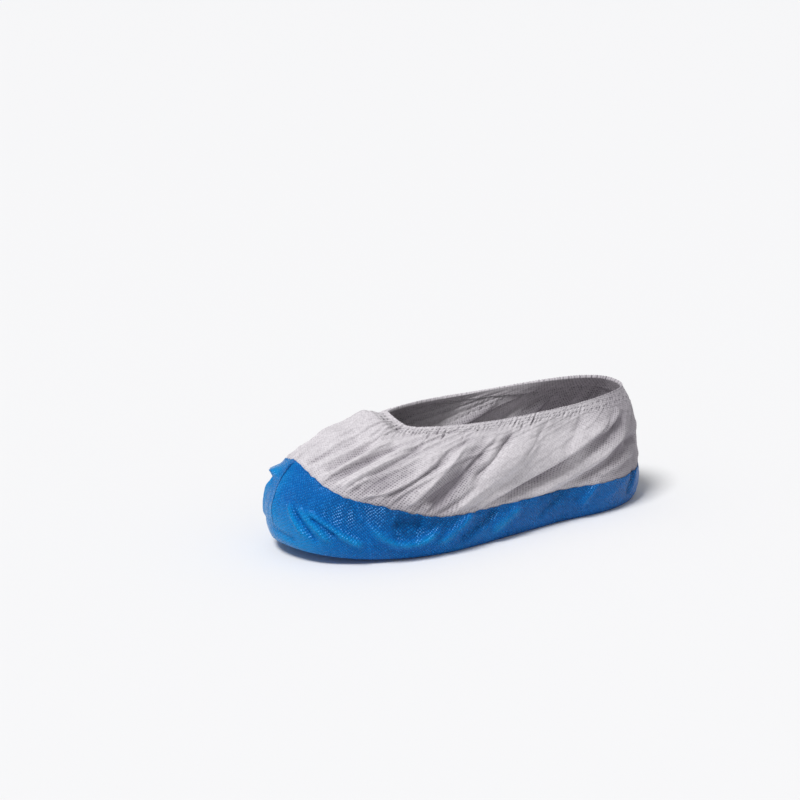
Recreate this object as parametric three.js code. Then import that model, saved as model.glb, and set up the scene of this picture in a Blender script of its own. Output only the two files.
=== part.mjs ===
// Disposable overshoe in its worn form: a white non-woven bag, a blue film tray round the sole
// and the toe, a gathered casing round the ankle opening and the welded seam down the toe.
// Millimetres, +Z up, toe toward -Y, outer side toward +X, the sole resting on Z = 0.
import * as THREE from 'three';

// Sizes of the whole cover
const LENGTH = 312;
const WIDTH = 121;
const HEIGHT = 92;

// Ankle opening: its front and back as shares of LENGTH from the toe
const HEM_WIDTH = 74;
const HEM_FRONT = 0.29;
const HEM_BACK = 0.978;
const HEM_SAG = 3;
const HEM_ROUND = 0.85;

// Sheets and the gaps between them
const WALL = 1;
const GAP = 0.3;
const CASING = 12;
const TURN = 1;
const UNDER = 14;

// Seam allowance down the toe
const SEAM_THICK = 1.2;
const SEAM_STAND = 3;

// Gathers below the ankle opening
const GATHERS = 27;
const GATHER_DEPTH = 1.0;
const GATHER_REACH = 26;

// Folds: the sizes that the shares in the fold table follow
const FOLD_WIDTH = 20;
const FOLD_DEPTH = 6;
const FOLD_STEPS = 12;

// Division of the skins
const COLUMNS = 108;
const WHITE_ROWS = 6;
const FILM_ROWS = 4;
const ACROSS = 5;
const END_COLUMNS = 5;
const WALK = 48;

// Outline of the sole from the toe round the outer side to the heel and back along the inner
// side. along: share of LENGTH, side: share of half WIDTH, lift: share of HEIGHT above the
// floor, film: top edge of the blue film as a share of the wall.
const OUTLINE_COLUMNS = ['along', 'side', 'lift', 'film'];
const OUTLINE = [
  [0.000, -0.10, 0.11, 0.526],
  [0.035, 0.42, 0.09, 0.488],
  [0.120, 0.74, 0.05, 0.416],
  [0.240, 0.93, 0.02, 0.382],
  [0.370, 0.96, 0.00, 0.358],
  [0.530, 0.86, 0.00, 0.314],
  [0.700, 0.74, 0.00, 0.326],
  [0.860, 0.70, 0.00, 0.340],
  [0.970, 0.44, 0.00, 0.364],
  [1.000, 0.00, 0.00, 0.390],
  [0.970, -0.43, 0.00, 0.400],
  [0.860, -0.66, 0.00, 0.390],
  [0.700, -0.58, 0.00, 0.370],
  [0.530, -0.60, 0.00, 0.370],
  [0.370, -0.84, 0.00, 0.410],
  [0.230, -0.93, 0.02, 0.450],
  [0.110, -0.80, 0.05, 0.490],
  [0.030, -0.55, 0.09, 0.520],
];

// Section of the wall at some of those stations. Out: share of WIDTH outside the sole,
// in: share of the way to the hem, up: share of the rise.
const SECTION_COLUMNS = ['station', 'bellyOut', 'bellyUp', 'capIn', 'capUp', 'shoulderIn', 'shoulderUp'];
const SECTION = [
  [0, 0.030, 0.34, 0.14, 0.66, 0.50, 0.84],
  [2, 0.030, 0.30, 0.08, 0.63, 0.45, 0.85],
  [4, 0.045, 0.22, -0.10, 0.50, 0.30, 0.80],
  [6, 0.050, 0.22, -0.20, 0.50, 0.25, 0.80],
  [8, 0.045, 0.20, -0.10, 0.50, 0.10, 0.80],
  [10, 0.045, 0.20, -0.10, 0.50, 0.10, 0.80],
  [12, 0.050, 0.22, -0.20, 0.50, 0.25, 0.80],
  [14, 0.045, 0.22, -0.10, 0.50, 0.30, 0.80],
  [16, 0.030, 0.30, 0.08, 0.63, 0.45, 0.85],
  [18, 0.030, 0.34, 0.14, 0.66, 0.50, 0.84],
];

// Folds as curves through three places. around: share of the way round from the toe, up: share
// of the wall, width: share of FOLD_WIDTH to each side, height: share of FOLD_DEPTH, outward.
const FOLD_COLUMNS = ['around0', 'up0', 'around1', 'up1', 'around2', 'up2', 'width', 'height'];
const FOLDS = [
  // outer side, toe to heel
  [0.045, 0.55, 0.054, 0.70, 0.056, 0.87, 0.45, -0.35],
  [0.065, 0.52, 0.088, 0.71, 0.098, 0.85, 0.45, -0.30],
  [0.075, 0.48, 0.106, 0.66, 0.129, 0.81, 0.50, 0.35],
  [0.101, 0.56, 0.126, 0.72, 0.132, 0.83, 0.45, -0.45],
  [0.099, 0.44, 0.150, 0.56, 0.180, 0.85, 0.50, 0.40],
  [0.140, 0.45, 0.175, 0.67, 0.202, 0.83, 0.50, -0.70],
  [0.158, 0.40, 0.205, 0.62, 0.222, 0.82, 0.55, 0.50],
  [0.196, 0.48, 0.235, 0.64, 0.245, 0.76, 0.50, -0.50],
  [0.244, 0.57, 0.258, 0.70, 0.263, 0.84, 0.50, -0.60],
  [0.212, 0.40, 0.272, 0.58, 0.299, 0.83, 0.90, 0.50],
  [0.239, 0.39, 0.336, 0.59, 0.392, 0.80, 0.65, 0.45],
  [0.260, 0.39, 0.355, 0.55, 0.425, 0.80, 0.65, -0.55],
  [0.299, 0.33, 0.365, 0.49, 0.425, 0.68, 0.65, 0.45],
  [0.348, 0.37, 0.390, 0.48, 0.414, 0.57, 0.50, -0.35],
  [0.363, 0.38, 0.400, 0.44, 0.432, 0.47, 0.45, 0.30],
  [0.415, 0.57, 0.432, 0.56, 0.450, 0.53, 0.50, -0.50],
  // heel
  [0.470, 0.45, 0.485, 0.62, 0.475, 0.80, 0.55, -0.40],
  [0.505, 0.42, 0.515, 0.62, 0.530, 0.82, 0.60, 0.40],
  // inner side, heel to toe
  [0.640, 0.42, 0.590, 0.52, 0.550, 0.72, 0.55, -0.50],
  [0.690, 0.40, 0.630, 0.54, 0.580, 0.76, 0.65, 0.60],
  [0.720, 0.42, 0.660, 0.56, 0.620, 0.78, 0.55, -0.80],
  [0.760, 0.42, 0.700, 0.58, 0.650, 0.80, 0.65, 0.70],
  [0.790, 0.45, 0.730, 0.60, 0.680, 0.82, 0.55, -0.70],
  [0.850, 0.48, 0.810, 0.65, 0.790, 0.84, 0.50, -0.60],
  [0.870, 0.48, 0.840, 0.66, 0.820, 0.85, 0.50, 0.40],
  [0.900, 0.52, 0.870, 0.68, 0.860, 0.86, 0.45, -0.40],
  [0.930, 0.54, 0.910, 0.70, 0.900, 0.87, 0.45, 0.30],
  [0.955, 0.56, 0.945, 0.70, 0.940, 0.88, 0.45, -0.30],
  // film round the toe and the outer side
  [0.039, 0.33, 0.075, 0.23, 0.114, 0.10, 0.35, 0.30],
  [0.040, 0.29, 0.058, 0.20, 0.080, 0.12, 0.40, -0.30],
  [0.155, 0.31, 0.169, 0.29, 0.183, 0.31, 0.60, -0.45],
  [0.124, 0.30, 0.161, 0.15, 0.207, 0.32, 0.40, 0.30],
];

const STATIONS = OUTLINE.length;
const NUDGE = 0.002;

/** The four-point spline that passes through b and c, at the share t between them. */
function spline(a, b, c, d, t) {
  const square = t * t;
  const cube = square * t;
  const bend = (2 * a - 5 * b + 4 * c - d) * square;
  return (2 * b + (c - a) * t + bend + (3 * b - a - 3 * c + d) * cube) / 2;
}

/** Eases a share between 0 and 1. */
function ease(t) {
  const held = Math.min(Math.max(t, 0), 1);
  return held * held * (3 - 2 * held);
}

/** A share round the outline, brought back between 0 and 1. */
function round(share) {
  return share - Math.floor(share);
}

/** One column of the outline table, smooth round the closed outline. */
function outline(name, around) {
  const column = OUTLINE_COLUMNS.indexOf(name);
  const place = round(around) * STATIONS;
  const station = Math.floor(place);
  const value = (step) => OUTLINE[(station + step + STATIONS) % STATIONS][column];
  return spline(value(-1), value(0), value(1), value(2), place - station);
}

/** One column of the section table, eased between its stations. */
function section(name, around) {
  const column = SECTION_COLUMNS.indexOf(name);
  const place = round(around) * STATIONS;
  const next = SECTION.findIndex((row) => row[0] > place);
  const from = SECTION[next - 1];
  const to = SECTION[next];
  const share = ease((place - from[0]) / (to[0] - from[0]));
  return from[column] + (to[column] - from[column]) * share;
}

/** The edge of the sole. */
function footEdge(around) {
  const x = outline('side', around) * WIDTH / 2;
  const y = (outline('along', around) - 0.5) * LENGTH;
  return new THREE.Vector3(x, y, Math.max(outline('lift', around), 0) * HEIGHT);
}

/** The edge of the ankle opening. */
function hemEdge(around) {
  const along = Math.min(Math.max(outline('along', around), 0), 1);
  const side = round(around) < 0.5 ? 1 : -1;
  const half = HEM_WIDTH / 2 * (1 - (2 * along - 1) ** 2) ** (HEM_ROUND / 2);
  const y = (HEM_FRONT + (HEM_BACK - HEM_FRONT) * along - 0.5) * LENGTH;
  const sag = HEM_SAG * Math.sin(Math.PI * along) ** 2;
  return new THREE.Vector3(side * half, y, HEIGHT - sag);
}

/** The direction away from the sole, flat on the floor. */
function away(around) {
  const run = footEdge(around + NUDGE).sub(footEdge(around - NUDGE));
  return new THREE.Vector3(run.y, -run.x, 0).normalize();
}

/** The points that the wall passes through, from under the sole to beyond the hem. */
function wallKnots(around) {
  const foot = footEdge(around);
  const hem = hemEdge(around);
  const out = away(around);
  const rise = hem.z - foot.z;
  const place = (share, up) => {
    const point = foot.clone().lerp(hem, share);
    return point.setZ(foot.z + up * rise);
  };
  const under = foot.clone().addScaledVector(out, -UNDER);
  const belly = foot.clone().addScaledVector(out, section('bellyOut', around) * WIDTH);
  belly.z += section('bellyUp', around) * rise;
  const cap = place(section('capIn', around), section('capUp', around));
  const shoulder = place(section('shoulderIn', around), section('shoulderUp', around));
  const beyond = hem.clone().multiplyScalar(1.5).addScaledVector(shoulder, -0.5);
  return [under, foot, belly, cap, shoulder, hem, beyond];
}

/** A point on the smooth wall: up is 0 at the sole's edge and 1 at the hem. */
function wallPoint(around, up) {
  const knots = wallKnots(around);
  const spans = knots.length - 3;
  const place = Math.min(Math.max(up, 0), 1) * spans;
  const first = Math.min(Math.floor(place), spans - 1);
  const [a, b, c, d] = knots.slice(first, first + 4);
  const mix = (axis) => spline(a[axis], b[axis], c[axis], d[axis], place - first);
  return new THREE.Vector3(mix('x'), mix('y'), mix('z'));
}

/** The wall's outward direction. */
function wallNormal(around, up) {
  const low = Math.max(up - NUDGE, 0);
  const high = Math.min(up + NUDGE, 1);
  const run = wallPoint(around + NUDGE, up).sub(wallPoint(around - NUDGE, up));
  const climb = wallPoint(around, high).sub(wallPoint(around, low));
  return run.cross(climb).normalize();
}

/** The share of the wall that lies the given length below the hem. */
function belowHem(around, length) {
  let walked = 0;
  let point = wallPoint(around, 1);
  for (let step = 1; step <= WALK; step += 1) {
    const next = wallPoint(around, 1 - step / WALK);
    const stride = next.distanceTo(point);
    if (walked + stride >= length) {
      return 1 - (step - 1 + (length - walked) / stride) / WALK;
    }
    walked += stride;
    point = next;
  }
  return 0;
}

/** One fold with its curve worked out on the wall. */
class Fold {
  constructor(row) {
    const value = (name) => row[FOLD_COLUMNS.indexOf(name)];
    this.width = value('width') * FOLD_WIDTH;
    this.height = value('height') * FOLD_DEPTH;
    this.curve = [];
    for (let step = 0; step <= FOLD_STEPS; step += 1) {
      const share = step / FOLD_STEPS;
      const start = (1 - share) * (1 - 2 * share);
      const middle = 4 * share * (1 - share);
      const end = share * (2 * share - 1);
      const mix = (name) => value(`${name}0`) * start + value(`${name}1`) * middle + value(`${name}2`) * end;
      this.curve.push(wallPoint(mix('around'), mix('up')));
    }
  }

  /** How far this fold stands out at a point: full on its curve, fading to its sides and ends. */
  standOut(point) {
    const line = new THREE.Line3();
    const near = new THREE.Vector3();
    let best = this.width;
    let share = 0;
    for (let step = 0; step < FOLD_STEPS; step += 1) {
      line.set(this.curve[step], this.curve[step + 1]);
      const part = line.closestPointToPointParameter(point, true);
      const distance = line.at(part, near).distanceTo(point);
      if (distance < best) {
        best = distance;
        share = (step + part) / FOLD_STEPS;
      }
    }
    const side = (1 - (best / this.width) ** 2) ** 2;
    return this.height * side * Math.sqrt(Math.sin(Math.PI * share));
  }
}

const FOLD_CURVES = FOLDS.map((row) => new Fold(row));

/** A point of the outer skin: the smooth wall with its folds and its gathers. */
function skinPoint(around, up, toHem) {
  const point = wallPoint(around, up);
  const clearOfSole = ease(up / 0.1);
  const clearOfHem = ease(toHem / CASING - 0.3);
  const folds = FOLD_CURVES.reduce((sum, fold) => sum + fold.standOut(point), 0);
  const gather = GATHER_DEPTH * Math.cos(2 * Math.PI * GATHERS * around) * ease(1 - toHem / GATHER_REACH);
  const stand = folds * clearOfSole * clearOfHem + gather;
  return point.addScaledVector(wallNormal(around, up), stand);
}

// Rows of the skin from the hem down
const ROOF_ROW = 2;
const UPPER_ROW = 3;
const CASING_ROW = 4;
const FILM_ROW = CASING_ROW + WHITE_ROWS;
const FOOT_ROW = FILM_ROW + FILM_ROWS;

/** The heights of one column's rows, as shares of the wall. */
function rowHeights(around) {
  const tops = [0, TURN, 2 * TURN, 2 * TURN + 2 * GAP, CASING].map((length) => belowHem(around, length));
  const casing = tops[CASING_ROW];
  const film = outline('film', around);
  for (let row = 1; row <= WHITE_ROWS; row += 1) {
    tops.push(casing + (film - casing) * row / WHITE_ROWS);
  }
  for (let row = 1; row <= FILM_ROWS; row += 1) {
    tops.push(film * (1 - row / FILM_ROWS));
  }
  return tops;
}

/** The outer skin: points, and triangles tagged with the row of wall that they belong to. */
class Skin {
  constructor() {
    this.points = [];
    this.faces = [];
    this.layWall();
    this.laySole();
    this.normals = this.mitres();
  }

  /** The number of a wall point. */
  at(row, column) {
    return row * COLUMNS + (column + COLUMNS) % COLUMNS;
  }

  /** Whether a column's facets are split toward the next column, as the folds run there. */
  leansBack(column) {
    return column < COLUMNS / 2;
  }

  layWall() {
    const columns = [];
    for (let column = 0; column < COLUMNS; column += 1) {
      const around = column / COLUMNS;
      const heights = rowHeights(around);
      const top = wallPoint(around, 1);
      columns.push(heights.map((up) => skinPoint(around, up, wallPoint(around, up).distanceTo(top))));
    }
    for (let row = 0; row <= FOOT_ROW; row += 1) {
      columns.forEach((column) => this.points.push(column[row]));
    }
    for (let row = 0; row < FOOT_ROW; row += 1) {
      for (let column = 0; column < COLUMNS; column += 1) {
        const low = this.at(row + 1, column);
        const lowNext = this.at(row + 1, column + 1);
        const high = this.at(row, column);
        const highNext = this.at(row, column + 1);
        if (this.leansBack(column)) {
          this.faces.push([low, lowNext, highNext, row], [low, highNext, high, row]);
        } else {
          this.faces.push([low, lowNext, high, row], [lowNext, highNext, high, row]);
        }
      }
    }
  }

  /** The sole: rungs laid across from the outer side to the inner side, closed at each end. */
  laySole() {
    const rungs = [];
    for (let column = END_COLUMNS; column <= COLUMNS / 2 - END_COLUMNS; column += 1) {
      const outer = this.at(FOOT_ROW, column);
      const inner = this.at(FOOT_ROW, -column);
      const rung = [outer];
      for (let step = 1; step < ACROSS; step += 1) {
        rung.push(this.points.length);
        this.points.push(this.points[outer].clone().lerp(this.points[inner], step / ACROSS));
      }
      rung.push(inner);
      rungs.push(rung);
    }
    for (let number = 0; number < rungs.length - 1; number += 1) {
      const near = rungs[number];
      const far = rungs[number + 1];
      for (let step = 0; step < ACROSS; step += 1) {
        this.faces.push([near[step], near[step + 1], far[step + 1], FOOT_ROW]);
        this.faces.push([near[step], far[step + 1], far[step], FOOT_ROW]);
      }
    }
    this.closeEnd(rungs[0], 0, -1);
    this.closeEnd(rungs[rungs.length - 1], COLUMNS / 2, 1);
  }

  /** The end of the sole between a rung and the rounded edge beyond it. */
  closeEnd(rung, middle, turn) {
    const arc = [];
    for (let step = -END_COLUMNS; step <= END_COLUMNS; step += 1) {
      arc.push(this.at(FOOT_ROW, middle + step * turn));
    }
    const add = (a, b, c) => this.faces.push(turn < 0 ? [a, b, c, FOOT_ROW] : [b, a, c, FOOT_ROW]);
    const arcEnd = arc.length - 1;
    let onArc = 0;
    let onRung = 0;
    while (onArc + onRung < arcEnd + ACROSS - 1) {
      const alongArc = onArc * ACROSS <= onRung * arcEnd;
      if (alongArc) {
        if (arc[onArc + 1] !== rung[onRung]) {
          add(arc[onArc], arc[onArc + 1], rung[onRung]);
        }
        onArc += 1;
      } else {
        add(arc[onArc], rung[onRung + 1], rung[onRung]);
        onRung += 1;
      }
    }
  }

  /** For each point, the offset that moves the faces round it by one millimetre. */
  mitres() {
    const sums = this.points.map(() => new THREE.Vector3());
    const around = this.points.map(() => []);
    const triangle = new THREE.Triangle();
    this.faces.forEach(([a, b, c]) => {
      triangle.set(this.points[a], this.points[b], this.points[c]);
      const normal = triangle.getNormal(new THREE.Vector3());
      [a, b, c].forEach((point) => {
        sums[point].addScaledVector(normal, triangle.getArea());
        around[point].push(normal);
      });
    });
    const offsets = sums.map((sum, point) => {
      const normal = sum.normalize();
      const share = around[point].reduce((total, face) => total + face.dot(normal), 0) / around[point].length;
      return normal.multiplyScalar(1 / share);
    });
    // The casing and the bag's edge inside it lie parallel
    return offsets.map((offset, point) => {
      const inCasing = point < this.at(CASING_ROW, 0);
      return inCasing ? offsets[this.at(CASING_ROW, point % COLUMNS)] : offset;
    });
  }

  /** A point of the skin moved inward. */
  inside(point, depth) {
    return this.points[point].clone().addScaledVector(this.normals[point], -depth);
  }

  /** A closed sheet between two depths, from the given row down and across the sole. */
  sheet(topRow, outerDepth, innerDepth) {
    const kept = this.faces.filter((face) => face[3] >= topRow);
    const positions = [];
    const indices = [];
    const numbers = new Map();
    kept.forEach((face) => face.slice(0, 3).forEach((point) => {
      if (!numbers.has(point)) {
        numbers.set(point, numbers.size);
        positions.push(this.inside(point, outerDepth), this.inside(point, innerDepth));
      }
    }));
    const outer = (point) => 2 * numbers.get(point);
    const inner = (point) => 2 * numbers.get(point) + 1;
    kept.forEach(([a, b, c]) => {
      indices.push(outer(a), outer(b), outer(c), inner(a), inner(c), inner(b));
    });
    for (let column = 0; column < COLUMNS; column += 1) {
      const here = this.at(topRow, column);
      const next = this.at(topRow, column + 1);
      indices.push(outer(here), outer(next), inner(next), outer(here), inner(next), inner(here));
    }
    return solid(positions, indices);
  }

  /** The casing: a sheet folded over the top edge of the bag, its two legs inside and outside. */
  casing() {
    const legGap = WALL + GAP;
    const inner = 2 * legGap + WALL;
    const loop = [
      [CASING_ROW, 0], [1, 0], [0, legGap], [0, inner - legGap], [1, inner], [CASING_ROW, inner],
      [CASING_ROW, inner - WALL], [UPPER_ROW, inner - WALL], [ROOF_ROW, inner - WALL],
      [ROOF_ROW, WALL], [UPPER_ROW, WALL], [CASING_ROW, WALL],
    ];
    const positions = [];
    const indices = [];
    const count = loop.length;
    for (let column = 0; column < COLUMNS; column += 1) {
      loop.forEach(([row, depth]) => positions.push(this.inside(this.at(row, column), depth)));
      const next = (column + 1) % COLUMNS;
      for (let corner = 0; corner < count; corner += 1) {
        const after = (corner + 1) % count;
        const a = column * count + corner;
        const b = next * count + corner;
        const c = next * count + after;
        const d = column * count + after;
        const climbs = loop[corner][0] > loop[after][0];
        const split = climbs === this.leansBack(column);
        indices.push(...(split ? [a, b, c, a, c, d] : [a, b, d, b, c, d]));
      }
    }
    return solid(positions, indices);
  }

  /** The seam allowance that stands on the film down the middle of the toe. */
  toeSeam() {
    const positions = [];
    const indices = [];
    const corners = 4;
    const rows = FILM_ROWS;
    for (let row = 0; row < rows; row += 1) {
      const point = this.at(FILM_ROW + row, 0);
      const run = this.points[this.at(FILM_ROW + row, 1)].clone();
      run.sub(this.points[this.at(FILM_ROW + row, -1)]).normalize().multiplyScalar(SEAM_THICK / 2);
      const foot = this.inside(point, -GAP);
      const edge = this.inside(point, -GAP - SEAM_STAND);
      positions.push(foot.clone().sub(run), foot.clone().add(run));
      positions.push(edge.clone().add(run), edge.clone().sub(run));
    }
    for (let row = 0; row < rows - 1; row += 1) {
      for (let corner = 0; corner < corners; corner += 1) {
        const a = row * corners + corner;
        const b = row * corners + (corner + 1) % corners;
        indices.push(a, b, b + corners, a, b + corners, a + corners);
      }
    }
    const last = (rows - 1) * corners;
    indices.push(0, 2, 1, 0, 3, 2);
    indices.push(last, last + 1, last + 2, last, last + 2, last + 3);
    return solid(positions, indices);
  }
}

/** A geometry from points and triangle corners. */
function solid(positions, indices) {
  const geometry = new THREE.BufferGeometry();
  geometry.setAttribute('position', new THREE.Float32BufferAttribute(positions.flatMap((p) => p.toArray()), 3));
  geometry.setIndex(indices);
  geometry.computeVertexNormals();
  return geometry;
}

/** A named part with a finish of its own. */
function part(name, geometry, color, roughness) {
  const material = new THREE.MeshStandardMaterial({ color, roughness, metalness: 0 });
  material.name = name;
  const mesh = new THREE.Mesh(geometry, material);
  mesh.name = name;
  return mesh;
}

const skin = new Skin();
const overshoe = new THREE.Group();
overshoe.name = 'overshoe';
overshoe.add(part('upper', skin.sheet(UPPER_ROW, WALL + GAP, 2 * WALL + GAP), '#e4e2e6', 0.95));
overshoe.add(part('sole_film', skin.sheet(FILM_ROW, 0, WALL), '#1762b0', 0.45));
overshoe.add(part('hem', skin.casing(), '#eceaee', 0.95));
overshoe.add(part('toe_seam', skin.toeSeam(), '#1a67b6', 0.45));

// The origin stands on the floor under the middle of the whole cover
const bounds = new THREE.Box3().setFromObject(overshoe);
const middle = bounds.getCenter(new THREE.Vector3()).setZ(bounds.min.z);
overshoe.children.forEach((mesh) => mesh.geometry.translate(-middle.x, -middle.y, -middle.z));

export default overshoe;
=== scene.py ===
"""A disposable overshoe in its worn form: white non-woven bag, embossed blue film sole, gathered casing.

Every length in the tables and the size fields is in millimetres, and places are shares of those
sizes. The pieces are laid on one worn form, whose wall runs from the edge of the sole, up = 0, to
the edge of the ankle opening, up = 1, and whose outline runs from the toe, around = 0, along the
outer side to the heel, around = 0.5, and back along the inner side.
"""

from __future__ import annotations

import logging
import math
from dataclasses import dataclass, field
from enum import Enum

import bmesh
import bpy
import numpy as np
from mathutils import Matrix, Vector


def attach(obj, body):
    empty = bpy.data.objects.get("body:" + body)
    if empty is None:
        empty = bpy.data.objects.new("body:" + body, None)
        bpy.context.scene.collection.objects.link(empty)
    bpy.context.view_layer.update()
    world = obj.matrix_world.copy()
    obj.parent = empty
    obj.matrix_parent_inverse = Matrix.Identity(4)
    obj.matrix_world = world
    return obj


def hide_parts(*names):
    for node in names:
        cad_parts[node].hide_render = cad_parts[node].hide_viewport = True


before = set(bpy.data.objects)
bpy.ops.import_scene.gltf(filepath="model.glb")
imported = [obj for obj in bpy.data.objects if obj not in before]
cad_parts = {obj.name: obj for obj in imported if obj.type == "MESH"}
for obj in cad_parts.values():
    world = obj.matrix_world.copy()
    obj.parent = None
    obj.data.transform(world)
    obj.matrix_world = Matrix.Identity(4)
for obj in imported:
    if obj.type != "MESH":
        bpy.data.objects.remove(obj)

LOG = logging.getLogger("overshoe")
MM = 0.001
SEED = 7
NUDGE = 0.002
WELD = 1e-6

OUTLINE_COLUMNS = ("along", "side", "lift", "film")
OUTLINE = (
    (0.000, -0.10, 0.11, 0.526),
    (0.035, 0.42, 0.09, 0.488),
    (0.120, 0.74, 0.05, 0.416),
    (0.240, 0.93, 0.02, 0.382),
    (0.370, 0.96, 0.00, 0.362),
    (0.530, 0.86, 0.00, 0.345),
    (0.700, 0.74, 0.00, 0.336),
    (0.860, 0.70, 0.00, 0.322),
    (0.970, 0.44, 0.00, 0.336),
    (1.000, 0.00, 0.00, 0.372),
    (0.970, -0.43, 0.00, 0.400),
    (0.860, -0.66, 0.00, 0.390),
    (0.700, -0.58, 0.00, 0.370),
    (0.530, -0.60, 0.00, 0.370),
    (0.370, -0.84, 0.00, 0.410),
    (0.230, -0.93, 0.02, 0.450),
    (0.110, -0.80, 0.05, 0.490),
    (0.030, -0.55, 0.09, 0.520),
)

SECTION_COLUMNS = ("station", "belly_out", "belly_up", "cap_in", "cap_up", "shoulder_in", "shoulder_up")
SECTION = (
    (0, 0.030, 0.34, 0.14, 0.66, 0.50, 0.84),
    (2, 0.030, 0.30, 0.08, 0.63, 0.45, 0.85),
    (4, 0.045, 0.22, -0.10, 0.50, 0.30, 0.80),
    (6, 0.050, 0.22, -0.20, 0.50, 0.25, 0.80),
    (8, 0.045, 0.20, -0.10, 0.50, 0.10, 0.80),
    (10, 0.045, 0.20, -0.10, 0.50, 0.10, 0.80),
    (12, 0.050, 0.22, -0.20, 0.50, 0.25, 0.80),
    (14, 0.045, 0.22, -0.10, 0.50, 0.30, 0.80),
    (16, 0.030, 0.30, 0.08, 0.63, 0.45, 0.85),
    (18, 0.030, 0.34, 0.14, 0.66, 0.50, 0.84),
)

# Folds as curves through three places on the wall. front and back: how far the fold reaches to
# its upper and its lower side. sharp: 0 for a soft roll, 1 for a crease. lean: how far its crest
# hangs over to the lower side, as a share of its height.
FOLD_COLUMNS = (
    "around0", "up0", "around1", "up1", "around2", "up2", "front", "back", "height", "sharp", "lean",
)
OUTER_FOLDS = (
    (-0.085, 0.92, -0.006, 0.93, 0.070, 0.92, 16, 32, 6.0, 0.0, 0.0),
    (-0.110, 0.74, -0.035, 0.77, 0.040, 0.73, 14, 16, 3.0, 0.0, 0.0),
    (-0.014, 0.62, -0.006, 0.78, -0.005, 0.94, 6, 6, -1.5, 0.5, 0.0),
    (-0.005, 0.57, 0.000, 0.75, 0.030, 0.91, 7, 4, 1.5, 0.4, 0.2),
    (0.045, 0.55, 0.054, 0.70, 0.056, 0.88, 6, 6, -2.6, 0.5, 0.0),
    (0.046, 0.50, 0.064, 0.68, 0.085, 0.89, 6, 4, 2.7, 0.5, 0.4),
    (0.065, 0.52, 0.088, 0.71, 0.098, 0.86, 6, 6, -2.4, 0.4, 0.0),
    (0.075, 0.47, 0.106, 0.66, 0.130, 0.83, 8, 4, 3.8, 0.4, 0.4),
    (0.101, 0.55, 0.127, 0.72, 0.132, 0.85, 7, 7, -3.2, 0.5, 0.0),
    (0.097, 0.47, 0.118, 0.51, 0.144, 0.59, 7, 7, -1.8, 0.1, 0.0),
    (0.099, 0.44, 0.155, 0.57, 0.182, 0.87, 9, 4, 3.8, 0.5, 0.5),
    (0.138, 0.44, 0.168, 0.65, 0.190, 0.84, 6, 6, -2.2, 0.2, 0.0),
    (0.158, 0.40, 0.190, 0.60, 0.205, 0.84, 8, 4, 3.4, 0.4, 0.5),
    (0.188, 0.44, 0.222, 0.60, 0.243, 0.84, 10, 9, -4.6, 0.3, 0.0),
    (0.240, 0.56, 0.259, 0.71, 0.262, 0.87, 6, 6, -4.0, 0.8, 0.0),
    (0.208, 0.38, 0.272, 0.58, 0.303, 0.86, 13, 9, 3.3, 0.2, 0.3),
    (0.236, 0.37, 0.330, 0.58, 0.394, 0.80, 15, 4, 3.2, 0.7, 0.9),
    (0.256, 0.39, 0.347, 0.56, 0.427, 0.82, 5, 9, -3.3, 0.6, 0.0),
    (0.292, 0.32, 0.363, 0.49, 0.428, 0.69, 9, 5, 3.2, 0.5, 0.4),
    (0.340, 0.36, 0.388, 0.48, 0.416, 0.58, 7, 8, -2.3, 0.4, 0.0),
    (0.360, 0.37, 0.400, 0.44, 0.436, 0.47, 7, 4, 1.9, 0.4, 0.4),
    (0.380, 0.66, 0.394, 0.74, 0.408, 0.84, 5, 4, 1.7, 0.6, 0.4),
    (0.410, 0.55, 0.432, 0.56, 0.452, 0.53, 6, 6, -3.3, 0.6, 0.0),
    (0.236, 0.67, 0.302, 0.63, 0.378, 0.61, 17, 17, 4.2, 0.0, 0.0),
    (0.330, 0.62, 0.345, 0.72, 0.352, 0.86, 5, 6, -1.4, 0.5, 0.0),
    (0.020, 0.55, 0.028, 0.70, 0.040, 0.90, 5, 5, -1.8, 0.7, 0.0),
    (0.030, 0.52, 0.040, 0.68, 0.052, 0.88, 6, 4, 1.6, 0.5, 0.2),
    (0.056, 0.48, 0.078, 0.64, 0.088, 0.78, 4, 5, -1.4, 0.7, 0.0),
    (0.088, 0.46, 0.118, 0.62, 0.140, 0.78, 5, 4, 1.8, 0.6, 0.3),
    (0.118, 0.43, 0.142, 0.56, 0.160, 0.68, 5, 4, -2.0, 0.7, 0.0),
    (0.126, 0.41, 0.158, 0.52, 0.180, 0.66, 6, 5, 1.2, 0.3, 0.1),
    (0.196, 0.42, 0.216, 0.52, 0.232, 0.66, 4, 4, -1.4, 0.6, 0.0),
    (0.180, 0.40, 0.212, 0.52, 0.230, 0.68, 4, 3, 1.2, 0.6, 0.3),
    (0.196, 0.37, 0.228, 0.46, 0.252, 0.56, 4, 4, -1.8, 0.7, 0.0),
    (0.180, 0.62, 0.192, 0.76, 0.200, 0.90, 4, 4, -1.8, 0.8, 0.0),
    (0.222, 0.62, 0.232, 0.75, 0.238, 0.88, 5, 3, 1.9, 0.6, 0.3),
    (0.282, 0.60, 0.296, 0.72, 0.306, 0.88, 5, 4, -1.5, 0.7, 0.0),
    (0.300, 0.44, 0.336, 0.53, 0.366, 0.66, 4, 4, -1.4, 0.8, 0.0),
    (0.326, 0.38, 0.362, 0.45, 0.394, 0.55, 4, 3, 1.5, 0.6, 0.3),
)
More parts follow.
